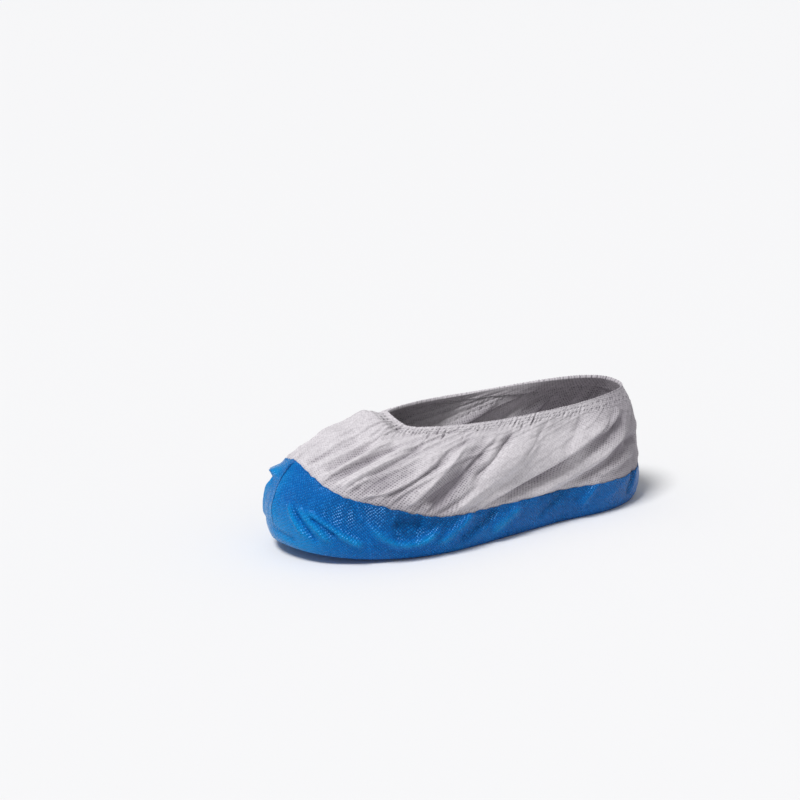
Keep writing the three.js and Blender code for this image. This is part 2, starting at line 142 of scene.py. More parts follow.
HEEL_FOLDS = (
    (0.448, 0.36, 0.452, 0.52, 0.446, 0.74, 7, 7, 1.9, 0.3, 0.0),
    (0.470, 0.42, 0.482, 0.60, 0.474, 0.82, 7, 7, -2.6, 0.5, 0.0),
    (0.500, 0.38, 0.508, 0.60, 0.506, 0.84, 9, 9, 2.2, 0.4, 0.0),
    (0.528, 0.42, 0.520, 0.58, 0.532, 0.80, 7, 7, -2.4, 0.5, 0.0),
)
INNER_FOLDS = (
    (0.640, 0.40, 0.590, 0.52, 0.550, 0.74, 8, 8, -3.0, 0.6, 0.0),
    (0.672, 0.38, 0.612, 0.52, 0.566, 0.74, 8, 10, 3.0, 0.5, -0.3),
    (0.715, 0.40, 0.655, 0.56, 0.612, 0.80, 8, 6, -3.9, 0.6, 0.0),
    (0.742, 0.38, 0.690, 0.56, 0.636, 0.80, 6, 13, 3.7, 0.5, -0.5),
    (0.780, 0.43, 0.725, 0.60, 0.680, 0.85, 7, 7, -3.4, 0.7, 0.0),
    (0.805, 0.43, 0.760, 0.60, 0.715, 0.84, 7, 9, 3.0, 0.4, -0.2),
    (0.835, 0.46, 0.800, 0.63, 0.775, 0.86, 6, 6, -3.0, 0.7, 0.0),
    (0.862, 0.46, 0.828, 0.64, 0.806, 0.87, 7, 8, 2.5, 0.4, -0.2),
    (0.888, 0.49, 0.862, 0.66, 0.846, 0.87, 6, 6, -2.3, 0.6, 0.0),
    (0.912, 0.50, 0.890, 0.68, 0.878, 0.88, 6, 7, 1.8, 0.5, -0.2),
    (0.940, 0.53, 0.926, 0.70, 0.920, 0.89, 6, 6, -1.8, 0.6, 0.0),
    (0.964, 0.54, 0.958, 0.72, 0.954, 0.90, 6, 6, 1.5, 0.5, 0.0),
)
FILM_FOLDS = (
    (-0.120, 0.41, -0.066, 0.425, -0.010, 0.42, 8, 5, 5.4, 0.5, 0.3),
    (-0.120, 0.33, -0.066, 0.345, -0.010, 0.33, 4, 10, 1.0, 0.3, 0.0),
    (0.042, 0.33, 0.088, 0.21, 0.122, 0.12, 4.0, 5.0, 3.3, 0.5, 0.1),
    (0.052, 0.28, 0.071, 0.24, 0.092, 0.17, 3.6, 3.4, -3.0, 0.5, 0.0),
    (0.034, 0.32, 0.058, 0.23, 0.084, 0.12, 3.6, 3.6, 2.4, 0.5, 0.0),
    (0.031, 0.28, 0.048, 0.20, 0.066, 0.11, 3.2, 3.2, -2.2, 0.5, 0.0),
    (0.024, 0.31, 0.034, 0.22, 0.052, 0.12, 3.6, 3.4, 2.0, 0.5, 0.0),
    (0.106, 0.44, 0.112, 0.36, 0.118, 0.28, 5, 5, 1.3, 0.5, 0.0),
    (-0.004, 0.12, 0.000, 0.30, 0.002, 0.47, 6, 7, 1.2, 0.4, 0.0),
    (-0.012, 0.05, 0.020, 0.045, 0.054, 0.03, 3.0, 3.0, 1.6, 0.4, 0.0),
    (-0.012, 0.11, 0.014, 0.10, 0.040, 0.08, 2.8, 2.8, -1.4, 0.5, 0.0),
    (0.148, 0.31, 0.167, 0.29, 0.186, 0.31, 9, 9, -4.5, 0.3, 0.0),
    (0.118, 0.33, 0.161, 0.14, 0.210, 0.34, 6, 6, 3.0, 0.5, 0.0),
    (0.194, 0.12, 0.220, 0.26, 0.244, 0.37, 7, 7, 2.6, 0.4, 0.0),
    (0.216, 0.10, 0.246, 0.24, 0.268, 0.34, 6, 6, -2.3, 0.4, 0.0),
    (0.256, 0.12, 0.272, 0.22, 0.292, 0.32, 8, 7, 2.0, 0.4, 0.0),
    (0.300, 0.14, 0.320, 0.24, 0.338, 0.34, 7, 6, -1.6, 0.5, 0.0),
    (0.350, 0.14, 0.362, 0.26, 0.374, 0.36, 7, 6, 1.6, 0.5, 0.0),
    (0.410, 0.12, 0.420, 0.26, 0.430, 0.38, 7, 6, -2.0, 0.5, 0.0),
    (0.480, 0.10, 0.492, 0.24, 0.486, 0.40, 7, 6, 2.2, 0.5, 0.0),
    (0.560, 0.12, 0.550, 0.26, 0.540, 0.40, 7, 6, -2.0, 0.5, 0.0),
    (0.640, 0.12, 0.626, 0.26, 0.612, 0.38, 7, 6, 2.0, 0.5, 0.0),
    (0.720, 0.12, 0.702, 0.26, 0.686, 0.40, 7, 6, -2.0, 0.5, 0.0),
    (0.790, 0.12, 0.776, 0.28, 0.758, 0.42, 7, 6, 2.2, 0.5, 0.0),
    (0.862, 0.10, 0.880, 0.26, 0.902, 0.44, 6, 6, 2.2, 0.7, 0.0),
    (0.906, 0.10, 0.926, 0.24, 0.950, 0.42, 6, 6, -2.2, 0.7, 0.0),
    (0.942, 0.10, 0.958, 0.26, 0.974, 0.44, 5, 5, 2.0, 0.8, 0.0),
)

# How far the edge of the opening rises or dips, by place round it
HEM_COLUMNS = ("around", "rise")
HEM_RISE = (
    (0.000, 6.5), (0.028, 2.0), (0.056, -2.6), (0.080, -3.6), (0.111, -3.4), (0.167, -2.7), (0.222, -1.4),
    (0.278, 0.0), (0.333, -0.8), (0.389, -1.1), (0.444, -1.8), (0.500, -1.2), (0.560, 0.0), (0.800, 0.0),
    (0.920, -1.0), (0.970, 3.0), (1.000, 6.5),
)

# How far the fine wrinkles run round the outline as they climb the wall, and how deep they are, by place
WRINKLE_COLUMNS = ("around", "slant", "depth")
WRINKLES = (
    (0.00, 0.00, 0.9),
    (0.06, 0.06, 1.0),
    (0.12, 0.15, 1.0),
    (0.20, 0.20, 0.8),
    (0.25, 0.34, 0.5),
    (0.30, 0.36, 0.3),
    (0.36, 0.36, 0.4),
    (0.44, 0.12, 0.3),
    (0.50, 0.00, 0.5),
    (0.56, -0.12, 0.9),
    (0.64, -0.30, 0.9),
    (0.76, -0.22, 1.0),
    (0.88, -0.10, 1.0),
    (1.00, 0.00, 0.9),
)

# How deep the gathers are and how far they reach down the wall, by place round the opening
GATHER_COLUMNS = ("around", "depth", "reach")
GATHERS = (
    (0.00, 1.6, 28),
    (0.04, 2.4, 38),
    (0.10, 2.6, 42),
    (0.16, 2.1, 34),
    (0.21, 1.4, 24),
    (0.25, 3.3, 26),
    (0.28, 1.2, 20),
    (0.34, 1.0, 16),
    (0.42, 0.7, 16),
    (0.50, 1.0, 20),
    (0.56, 1.2, 22),
    (0.66, 1.2, 22),
    (0.74, 2.0, 30),
    (0.82, 1.6, 34),
    (0.90, 1.9, 38),
    (1.00, 1.6, 28),
)


# How much painted shade the cloth gets, by place round it, near the film and near the opening: most where the cover
# lies in shade; it stands in too for a dark shoe seen through the cloth
CLOTH_SHADE_COLUMNS = ("around", "low", "high")
CLOTH_PAINTED_SHADE = (
    (0.00, 0.04, 0.02),
    (0.09, 0.30, 0.05),
    (0.13, 0.60, 0.07),
    (0.18, 0.56, 0.12),
    (0.225, 0.52, 0.16),
    (0.25, 0.16, 0.04),
    (0.30, 0.16, 0.00),
    (0.35, 0.18, 0.05),
    (0.40, 0.66, 0.68),
    (0.435, 0.90, 0.80),
    (0.47, 0.50, 0.30),
    (0.54, 0.55, 0.45),
    (0.62, 0.50, 0.30),
    (0.72, 0.35, 0.15),
    (0.84, 0.25, 0.10),
    (0.93, 0.10, 0.05),
    (1.00, 0.04, 0.02),
)


# How pale the film is painted, by place round it, near the floor and near its edge: painted light where the film is
# lit, painted shade where it lies in shade
FILM_LIGHT_COLUMNS = ("around", "low", "high")
FILM_LIGHT_AND_STRESS = (
    (0.00, 0.90, 0.50),
    (0.045, 0.88, 0.32),
    (0.08, 0.56, 0.26),
    (0.12, 0.44, 0.08),
    (0.16, 0.34, 0.00),
    (0.20, 0.50, 0.04),
    (0.28, 0.46, 0.28),
    (0.34, 0.32, 0.12),
    (0.40, 0.34, 0.24),
    (0.46, 0.36, 0.30),
    (0.64, 0.30, 0.24),
    (0.80, 0.28, 0.20),
    (0.90, 0.60, 0.40),
    (0.95, 0.95, 0.80),
    (0.985, 0.95, 0.70),
    (1.00, 0.90, 0.50),
)


def column(columns: tuple[str, ...], rows: tuple, name: str) -> np.ndarray:
    """One named column of a table as an array."""
    return np.array([row[columns.index(name)] for row in rows], float)


def table_pair(columns: tuple[str, str], rows: tuple) -> tuple[np.ndarray, np.ndarray]:
    """Both columns of a two-column table."""
    return column(columns, rows, columns[0]), column(columns, rows, columns[1])


def ease(share: np.ndarray) -> np.ndarray:
    """Eases a share between 0 and 1."""
    held = np.clip(share, 0.0, 1.0)
    return held * held * (3.0 - 2.0 * held)


def spline(a: np.ndarray, b: np.ndarray, c: np.ndarray, d: np.ndarray, share: np.ndarray) -> np.ndarray:
    """The smooth curve that passes through b and c, at the share between them."""
    square = share * share
    return (
        2 * b + (c - a) * share + (2 * a - 5 * b + 4 * c - d) * square + (3 * b - a - 3 * c + d) * square * share
    ) / 2


def unit(vectors: np.ndarray) -> np.ndarray:
    """Vectors of length one."""
    return vectors / np.maximum(np.linalg.norm(vectors, axis=-1, keepdims=True), 1e-9)


@dataclass(frozen=True)
class WornForm:
    """The smooth shape that the cover takes over a shoe."""

    length: float = 312.0
    width: float = 121.0
    height: float = 92.0
    hem_width: float = 74.0
    hem_front: float = 0.290
    hem_back: float = 0.978
    hem_sag: float = 3.0
    hem_round: float = 0.85
    under: float = 14.0
    middle: tuple[float, float] = (1.727, -0.994)
    table: dict[str, np.ndarray] = field(
        default_factory=lambda: {name: column(OUTLINE_COLUMNS, OUTLINE, name) for name in OUTLINE_COLUMNS}
    )

    def outline(self, name: str, around: np.ndarray) -> np.ndarray:
        """One column of the outline table, smooth round the closed outline.

        Args:
            name: The column.
            around: Places round the outline, from 0 to 1.

        Returns:
            The column's values there.
        """
        values = self.table[name]
        count = len(values)
        place = (np.asarray(around) % 1.0) * count
        station = np.floor(place).astype(int)
        a, b, c, d = (values[(station + step) % count] for step in (-1, 0, 1, 2))
        return spline(a, b, c, d, place - station)

    def section(self, name: str, around: np.ndarray) -> np.ndarray:
        """One column of the section table, eased between its stations."""
        stations = column(SECTION_COLUMNS, SECTION, "station")
        values = column(SECTION_COLUMNS, SECTION, name)
        place = (np.asarray(around) % 1.0) * len(OUTLINE)
        first = np.clip(np.searchsorted(stations, place, side="right") - 1, 0, len(stations) - 2)
        share = ease((place - stations[first]) / (stations[first + 1] - stations[first]))
        return values[first] + (values[first + 1] - values[first]) * share

    def foot(self, around: np.ndarray) -> np.ndarray:
        """The edge of the sole."""
        x = self.outline("side", around) * self.width / 2
        y = (self.outline("along", around) - 0.5) * self.length
        z = np.maximum(self.outline("lift", around), 0.0) * self.height
        return np.stack([x, y, z], axis=-1)

    def hem(self, around: np.ndarray) -> np.ndarray:
        """The edge of the ankle opening."""
        along = np.clip(self.outline("along", around), 0.0, 1.0)
        side = np.where((np.asarray(around) % 1.0) < 0.5, 1.0, -1.0)
        half = self.hem_width / 2 * (1 - (2 * along - 1) ** 2) ** (self.hem_round / 2)
        y = (self.hem_front + (self.hem_back - self.hem_front) * along - 0.5) * self.length
        rise = np.interp(np.asarray(around) % 1.0, *table_pair(HEM_COLUMNS, HEM_RISE))
        z = self.height - self.hem_sag * np.sin(np.pi * along) ** 2 + rise
        return np.stack([side * half, y, z], axis=-1)

    def away(self, around: np.ndarray) -> np.ndarray:
        """The direction away from the sole, flat on the floor."""
        run = self.foot(np.asarray(around) + NUDGE) - self.foot(np.asarray(around) - NUDGE)
        return unit(np.stack([run[..., 1], -run[..., 0], np.zeros_like(run[..., 0])], axis=-1))

    def knots(self, around: np.ndarray) -> np.ndarray:
        """The points that the wall passes through, from under the sole to beyond the hem."""
        foot, hem, out = self.foot(around), self.hem(around), self.away(around)
        rise = hem[..., 2] - foot[..., 2]

        def place(share: np.ndarray, up: np.ndarray) -> np.ndarray:
            """A knot part of the way from the foot to the hem, at its own height."""
            point = foot + (hem - foot) * share[..., None]
            point[..., 2] = foot[..., 2] + up * rise
            return point

        belly = foot + out * (self.section("belly_out", around) * self.width)[..., None]
        belly[..., 2] = foot[..., 2] + self.section("belly_up", around) * rise
        cap = place(self.section("cap_in", around), self.section("cap_up", around))
        shoulder = place(self.section("shoulder_in", around), self.section("shoulder_up", around))
        beyond = hem + (hem - shoulder) / 2
        return np.stack([foot - out * self.under, foot, belly, cap, shoulder, hem, beyond])

    def wall(self, around: np.ndarray, up: np.ndarray) -> np.ndarray:
        """Points of the smooth wall.

        Args:
            around: Places round the outline, one for each column.
            up: Shares of the wall, with one row for each ring and one value for each column.

        Returns:
            The points, by row and column.
        """
        knots = self.knots(around)
        spans = len(knots) - 3
        place = np.clip(up, 0.0, 1.0) * spans
        first = np.minimum(np.floor(place).astype(int), spans - 1)
        columns = np.broadcast_to(np.arange(len(around)), first.shape)
        a, b, c, d = (knots[first + step, columns] for step in range(4))
        point = spline(a, b, c, d, (place - first)[..., None])
        return point - np.array([*self.middle, 0.0])

    def normal(self, around: np.ndarray, up: np.ndarray) -> np.ndarray:
        """The wall's outward direction, by row and column."""
        low, high = np.maximum(up - NUDGE, 0.0), np.minimum(up + NUDGE, 1.0)
        run = self.wall(around + NUDGE, up) - self.wall(around - NUDGE, up)
        climb = self.wall(around, high) - self.wall(around, low)
        return unit(np.cross(run, climb))

    def below_hem(self, around: np.ndarray, lengths: np.ndarray, steps: int = 160) -> np.ndarray:
        """The shares of the wall that lie some lengths below the hem.

        Args:
            around: Places round the outline.
            lengths: Lengths down the wall from the hem.
            steps: How finely the wall is walked.

        Returns:
            One row of shares for each length.
        """
        shares = np.linspace(1.0, 0.0, steps)
        line = self.wall(around, np.repeat(shares[:, None], len(around), axis=1))
        walked = np.cumsum(np.linalg.norm(np.diff(line, axis=0), axis=-1), axis=0)
        walked = np.vstack([np.zeros(len(around)), walked])
        found = [np.interp(lengths, walked[:, place], shares) for place in range(len(around))]
        return np.stack(found, axis=1)


@dataclass
class Fold:
    """One long fold, lying on the wall as a smooth curve through three places."""

    form: WornForm
    row: tuple
    steps: int = 14

    def value(self, name: str) -> float:
        """A named value of the fold's table row."""
        return float(self.row[FOLD_COLUMNS.index(name)])

    def curve(self) -> np.ndarray:
        """The fold's crest on the wall."""
        share = np.linspace(0.0, 1.0, self.steps)
        weights = ((1 - share) * (1 - 2 * share), 4 * share * (1 - share), share * (2 * share - 1))
        around = sum(weight * self.value(f"around{n}") for n, weight in enumerate(weights))
        up = sum(weight * self.value(f"up{n}") for n, weight in enumerate(weights))
        return self.form.wall(around, up[None, :])[0]

    def push(self, points: np.ndarray, normals: np.ndarray) -> np.ndarray:
        """How far this fold moves each point.

        Args:
            points: Points of the smooth wall.
            normals: Their outward directions.

        Returns:
            The move of each point.
        """
        curve = self.curve()
        front, back = self.value("front"), self.value("back")
        reach = max(front, back)
        moved = np.zeros_like(points)
        near = np.all((points > curve.min(0) - reach) & (points < curve.max(0) + reach), axis=1)
        if not near.any():
            return moved
        here, out = points[near], normals[near]
        best = np.full(len(here), np.inf)
        along = np.zeros(len(here))
        side = np.zeros(len(here))
        over = np.zeros_like(here)
        for step, (start, end) in enumerate(zip(curve[:-1], curve[1:])):
            run = end - start
            part = np.clip((here - start) @ run / (run @ run), 0.0, 1.0)
            gap = here - start - part[:, None] * run
            distance = np.linalg.norm(gap, axis=1)
            across = unit(np.cross(run, out))
            closer = distance < best
            best = np.where(closer, distance, best)
            along = np.where(closer, (step + part) / (self.steps - 1), along)
            side = np.where(closer, np.sum(gap * across, axis=1), side)
            over = np.where(closer[:, None], across, over)
        away = np.clip(best / np.where(side > 0, back, front), 0.0, 1.0)
        sharp = self.value("sharp")
        profile = (1 - sharp) * (1 - away**2) ** 2 + sharp * (1 - away) ** 2
        ends = ease(along / 0.22) * ease((1 - along) / 0.22)
        height = self.value("height") * profile * ends
        moved[near] = out * height[:, None] + over * (height * self.value("lean"))[:, None]
        return moved


def pleat(turn: np.ndarray) -> np.ndarray:
    """A wave that rises slowly towards the heel and drops steeply, as a pressed-over pleat does."""
    return 0.7 * np.sin(turn) - 0.28 * np.sin(2 * turn) + 0.14 * np.sin(3 * turn)


@dataclass
class Ripple:
    """A band of waves round the outline, seeded so that it comes out the same each time."""

    low: int
    high: int
    seed: int
    sharp: float = 0.0

    def at(self, share: np.ndarray, drift: np.ndarray | float = 0.0) -> np.ndarray:
        """The wave's height, between about -1 and 1.

        Args:
            share: Places round the outline, from 0 to 1.
            drift: A slow change that makes the waves merge and part.

        Returns:
            The heights.
        """
        random = np.random.default_rng(SEED + self.seed)
        counts = np.unique(random.integers(self.low, self.high + 1, size=9))
        total = np.zeros(np.broadcast(share, drift).shape)
        for count in counts:
            phase, turn, weight = random.uniform(0, 2 * math.pi), random.uniform(-1, 1), random.uniform(0.5, 1)
            total = total + weight * np.sin(2 * math.pi * count * share + phase + turn * drift)
        total = total / math.sqrt(len(counts))
        crest = 1 - 2 * np.abs(np.clip(total, -1, 1))
        return (1 - self.sharp) * total + self.sharp * crest


@dataclass
class Relief:
    """Everything that makes the wall depart from its smooth form: folds, gathers and wrinkles."""

    form: WornForm
    gather_lean: float = 0.0009
    frill_depth: float = 0.22
    drawn_depth: float = 0.24
    crumple_depth: float = 0.38
    casing: float = 12.0
    slowest: float = 1.2
    folds: list[Fold] = field(default_factory=list)

    def __post_init__(self) -> None:
        """Makes the folds from their tables."""
        rows = (*OUTER_FOLDS, *HEEL_FOLDS, *INNER_FOLDS, *FILM_FOLDS)
        self.folds = [Fold(self.form, row) for row in rows]

    def gathers(self, around: np.ndarray, below: np.ndarray) -> np.ndarray:
        """The height of the gathers under the casing and of the frill on it.

        Args:
            around: Places along the hem that lie straight above each point.
            below: Each point's distance from the hem.

        Returns:
            The heights.
        """
        places = column(GATHER_COLUMNS, GATHERS, "around")
        depth, reach = (np.interp(around % 1.0, places, column(GATHER_COLUMNS, GATHERS, n)) for n in ("depth", "reach"))
        reach = reach * (0.8 + 0.4 * Ripple(14, 40, 9).at(around))
        fade = ease(1 - (below - self.casing * 0.6) / np.maximum(reach, 8.0))
        under = 0.22 + 0.78 * ease(below / (self.casing * 0.9))
        slanted = around + self.gather_lean * below
        depth = depth * (0.7 + 0.45 * Ripple(16, 48, 10).at(around))
        wide = Ripple(62, 92, 1, 0.6).at(slanted, below / 18)
        fine = Ripple(110, 160, 2, 0.4).at(slanted, below / 14)
        teeth = Ripple(210, 300, 3, 0.2).at(around, below / 30)
        tight = ease(1 - below / (self.casing * 0.8)) * ease(depth - 1.0)
        return depth * (0.6 * wide * fade + 0.32 * fine * fade**2) * under + self.frill_depth * teeth * tight

    def wrinkles(self, around: np.ndarray, up: np.ndarray, white: np.ndarray) -> np.ndarray:
        """The height of the long fine wrinkles that run with the folds, and of the crumple.

        Args:
            around: Places round the outline.
            up: Shares of the wall.
            white: How far each point lies on the bare cloth, from 0 to 1.

        Returns:
            The heights.
        """
        places = column(WRINKLE_COLUMNS, WRINKLES, "around")
        slant, depth = (np.interp(around, places, column(WRINKLE_COLUMNS, WRINKLES, n)) for n in ("slant", "depth"))
        run = around - slant * (up - 0.5)
        bend = 0.9 * Ripple(8, 24, 4).at(run, 5 * up)
        patch = 0.5 + 0.5 * Ripple(6, 17, 5).at(run, 8 * up)
        long = pleat(2 * math.pi * 46 * run + 2 * bend) * patch
        short = pleat(2 * math.pi * 83 * run + 3 * bend) * (1 - patch)
        drawn = Ripple(90, 190, 6, 0.3).at(run, 4 * up)
        crumple = Ripple(18, 50, 7, 0.7).at(around + 0.2 * up, 22 * up)
        crumple = crumple * Ripple(20, 44, 8).at(around - 0.3 * up, 16 * up)
        fine = depth * (long + 0.6 * short + self.drawn_depth * drawn)
        return fine * white + self.crumple_depth * crumple

    def apply(self, around: np.ndarray, up: np.ndarray) -> tuple[np.ndarray, np.ndarray, np.ndarray]:
        """The outer skin of the cover.

        Args:
            around: Places round the outline, one for each column.
            up: Shares of the wall, by row and column.

        Returns:
            The skin's points, the smooth wall's outward directions, and how far the skin stands out.
        """
        points, normals = self.form.wall(around, up), self.form.normal(around, up)
        flat_points, flat_normals = points.reshape(-1, 3), normals.reshape(-1, 3)
        moved = sum(fold.push(flat_points, flat_normals) for fold in self.folds).reshape(points.shape)
        top = self.form.wall(around, np.ones((1, len(around))))
        below = np.linalg.norm(points - top, axis=-1)
        film = self.form.outline("film", around)
        white = ease((up - film + 0.04) / 0.10)
        level = np.broadcast_to(around, up.shape)
        ahead, behind = (self.form.hem(around + step) for step in (NUDGE, -NUDGE))
        speed = np.maximum(np.linalg.norm(ahead - behind, axis=-1), self.slowest) / (2 * NUDGE)
        above = level + np.sum((points - top) * unit(ahead - behind), axis=-1) / speed
        held = (ease(up / 0.12) * ease(below / self.casing - 0.25))[..., None]
        ripple = self.wrinkles(level, up, white) * ease(up / 0.12) * ease(below / self.casing - 0.1)
        lift = ripple + self.gathers(above, below)
        skin = points + moved * held + normals * lift[..., None]
        height = np.sum(moved * held * normals, axis=-1) + 1.6 * lift
        return skin, normals, height


def smooth_round(rows: np.ndarray, count: int) -> np.ndarray:
    """Each row's running mean round the outline, over a number of columns."""
    return sum(np.roll(rows, shift, axis=1) for shift in range(-(count // 2), count // 2 + 1)) / count


def shell_normals(points: np.ndarray) -> np.ndarray:
    """Outward directions of a closed ring grid, by row and column."""
    run = np.roll(points, -1, axis=1) - np.roll(points, 1, axis=1)
    climb = np.gradient(points, axis=0)
    return unit(np.cross(climb, run))


def linear(code: str) -> tuple[float, float, float, float]:
    """Turns an sRGB hex colour into the linear one that shaders take."""
    parts = [int(code[place:place + 2], 16) / 255 for place in (1, 3, 5)]
    return (*(p / 12.92 if p <= 0.04045 else ((p + 0.055) / 1.055) ** 2.4 for p in parts), 1.0)


def add_node(tree: bpy.types.NodeTree, kind: str, settings: dict | None = None, links: dict | None = None):
    """Adds one node to a material.

    Args:
        tree: The material's node tree.
        kind: The node's type.
        settings: Values by property name, or by input name or number.
        links: Sockets to link, by input name or number.

    Returns:
        The node.
    """
    made = tree.nodes.new(kind)
    for name, value in (settings or {}).items():
        if isinstance(name, str) and hasattr(made, name):
            setattr(made, name, value)
        else:
            made.inputs[name].default_value = value
    for name, socket in (links or {}).items():
        tree.links.new(socket, made.inputs[name])
    return made


@dataclass(frozen=True)
class NonWoven:
    """Spot-bonded polypropylene non-woven: matte white, with a fine grid of pressed dots, greyed by painted shade where
    the painted_tone attribute is high.
    """

    name: str
    white: str = "#e2dee2"
    shade: str = "#bab5ba"
    # Grey of the painted shade in fold valleys, round the heel and low on the wall
    painted_tone: str = "#958f97"
    dot: str = "#69646c"
    dot_pitch_mm: float = 1.6
    fibre_mm: float = 0.35
    wisp_mm: float = 2.2
    cloud_mm: float = 14.0
    roughness: float = 0.92
    dot_depth_mm: float = 0.10
    fibre_depth_mm: float = 0.05

    def make(self) -> bpy.types.Material:
        """The material: the dots and loose fibres break up the light, so the cloth looks soft."""
        material = bpy.data.materials.new(self.name)
        material.use_nodes = True
        tree = material.node_tree
        tree.nodes.clear()
        place = add_node(tree, "ShaderNodeUVMap", {"uv_map": "cut"}).outputs["UV"]
        rows = add_node(
            tree,
            "ShaderNodeMapping",
            {"Rotation": (0.0, 0.0, math.radians(28)), "Scale": (1 / (self.dot_pitch_mm * 1.3 * MM), 1 / (self.dot_pitch_mm * MM), 1)},
            {"Vector": place},
        )
        dots = add_node(
            tree,
            "ShaderNodeTexVoronoi",
            {"feature": "F1", "Scale": 1.0, "Randomness": 0.15},
            {"Vector": rows.outputs["Vector"]},
        )
        pressed = add_node(
            tree,
            "ShaderNodeMapRange",
            {"From Min": 0.18, "From Max": 0.40, "To Min": 1.0, "To Max": 0.0},
            {"Value": dots.outputs["Distance"]},
        )
        fibres = add_node(
            tree,
            "ShaderNodeTexNoise",
            {"Scale": 1 / (self.fibre_mm * MM), "Detail": 3.0, "Roughness": 0.6, "Distortion": 0.8},
            {"Vector": place},
        )
        clouds = add_node(
            tree, "ShaderNodeTexNoise", {"Scale": 1 / (self.cloud_mm * MM), "Detail": 4.0}, {"Vector": place}
        )
        wisps = add_node(
            tree,
            "ShaderNodeTexNoise",
            {"Scale": 1 / (self.wisp_mm * MM), "Detail": 3.0, "Roughness": 0.7},
            {"Vector": place},
        )
        mottle = add_node(
            tree,
            "ShaderNodeMapRange",
            {"From Min": 0.36, "From Max": 0.64},
            {"Value": wisps.outputs["Fac"]},
        )
        density = add_node(
            tree,
            "ShaderNodeMix",
            {"data_type": "FLOAT", 0: 0.55},
            {2: clouds.outputs["Fac"], 3: mottle.outputs["Result"]},
        )
        cloth = add_node(
            tree,
            "ShaderNodeMix",
            {"data_type": "RGBA", 6: linear(self.white), 7: linear(self.shade)},
            {0: density.outputs[0]},
        )
        # Painted shade: the painted_tone attribute greys the cloth in fold valleys, round the heel and low on the wall
        tone_paint = add_node(tree, "ShaderNodeAttribute", {"attribute_name": "painted_tone"})
        painted_shaded = add_node(
            tree,
            "ShaderNodeMix",
            {"data_type": "RGBA", 7: linear(self.painted_tone)},
            {0: tone_paint.outputs["Fac"], 6: cloth.outputs[2]},
        )
        # The pressed dots show more under the painted shade, and less again where it is deepest
        dots_in_shade = add_node(
            tree,
            "ShaderNodeMapRange",
            {"From Min": 0.0, "From Max": 0.45, "To Min": 0.24, "To Max": 1.0},
            {"Value": tone_paint.outputs["Fac"]},
        )
        dots_in_deep_shade = add_node(
            tree,
            "ShaderNodeMapRange",
            {"From Min": 0.6, "From Max": 0.9, "To Min": 1.0, "To Max": 0.7},
            {"Value": tone_paint.outputs["Fac"]},
        )
        chance = add_node(tree, "ShaderNodeSeparateColor", {}, {"Color": dots.outputs["Color"]})
        uneven = add_node(
            tree,
            "ShaderNodeMapRange",
            {"From Min": 0.0, "From Max": 0.7, "To Min": 0.35, "To Max": 1.0},
            {"Value": chance.outputs["Red"]},
        )
        spread = add_node(
            tree,
            "ShaderNodeMath",
            {"operation": "MULTIPLY"},
            {0: dots_in_shade.outputs["Result"], 1: dots_in_deep_shade.outputs["Result"]},
        )
        spread = add_node(
            tree,
            "ShaderNodeMath",
            {"operation": "MULTIPLY"},
            {0: spread.outputs["Value"], 1: uneven.outputs["Result"]},
        )
        shown = add_node(
            tree,
            "ShaderNodeMath",
            {"operation": "MULTIPLY"},
            {0: pressed.outputs["Result"], 1: spread.outputs["Value"]},
        )
        dotted = add_node(
            tree,
            "ShaderNodeMix",
            {"data_type": "RGBA", 7: linear(self.dot)},
            {0: shown.outputs["Value"], 6: painted_shaded.outputs[2]},
        )
        # Painted shade: the needle holes are dents painted dark grey, as the shade inside each hole
        pin = add_node(tree, "ShaderNodeAttribute", {"attribute_name": "pin"})
        holed = add_node(
            tree,
            "ShaderNodeMix",
            {"data_type": "RGBA", 7: linear("#5f5b63")},
            {0: pin.outputs["Fac"], 6: dotted.outputs[2]},
        )
        pits = add_node(
            tree,
            "ShaderNodeBump",
            {"invert": True, "Strength": 0.6, "Distance": self.dot_depth_mm * MM},
            {"Height": pressed.outputs["Result"]},
        )
        fuzz = add_node(
            tree,
            "ShaderNodeBump",
            {"Strength": 0.5, "Distance": self.fibre_depth_mm * MM},
            {"Height": fibres.outputs["Fac"], "Normal": pits.outputs["Normal"]},
        )
        surface = add_node(
            tree,
            "ShaderNodeBsdfPrincipled",
            {"Roughness": self.roughness, "Sheen Weight": 0.15, "Sheen Roughness": 0.5, "Specular IOR Level": 0.25},
            {"Base Color": holed.outputs[2], "Normal": fuzz.outputs["Normal"]},
        )
        add_node(tree, "ShaderNodeOutputMaterial", {}, {"Surface": surface.outputs["BSDF"]})
        return material


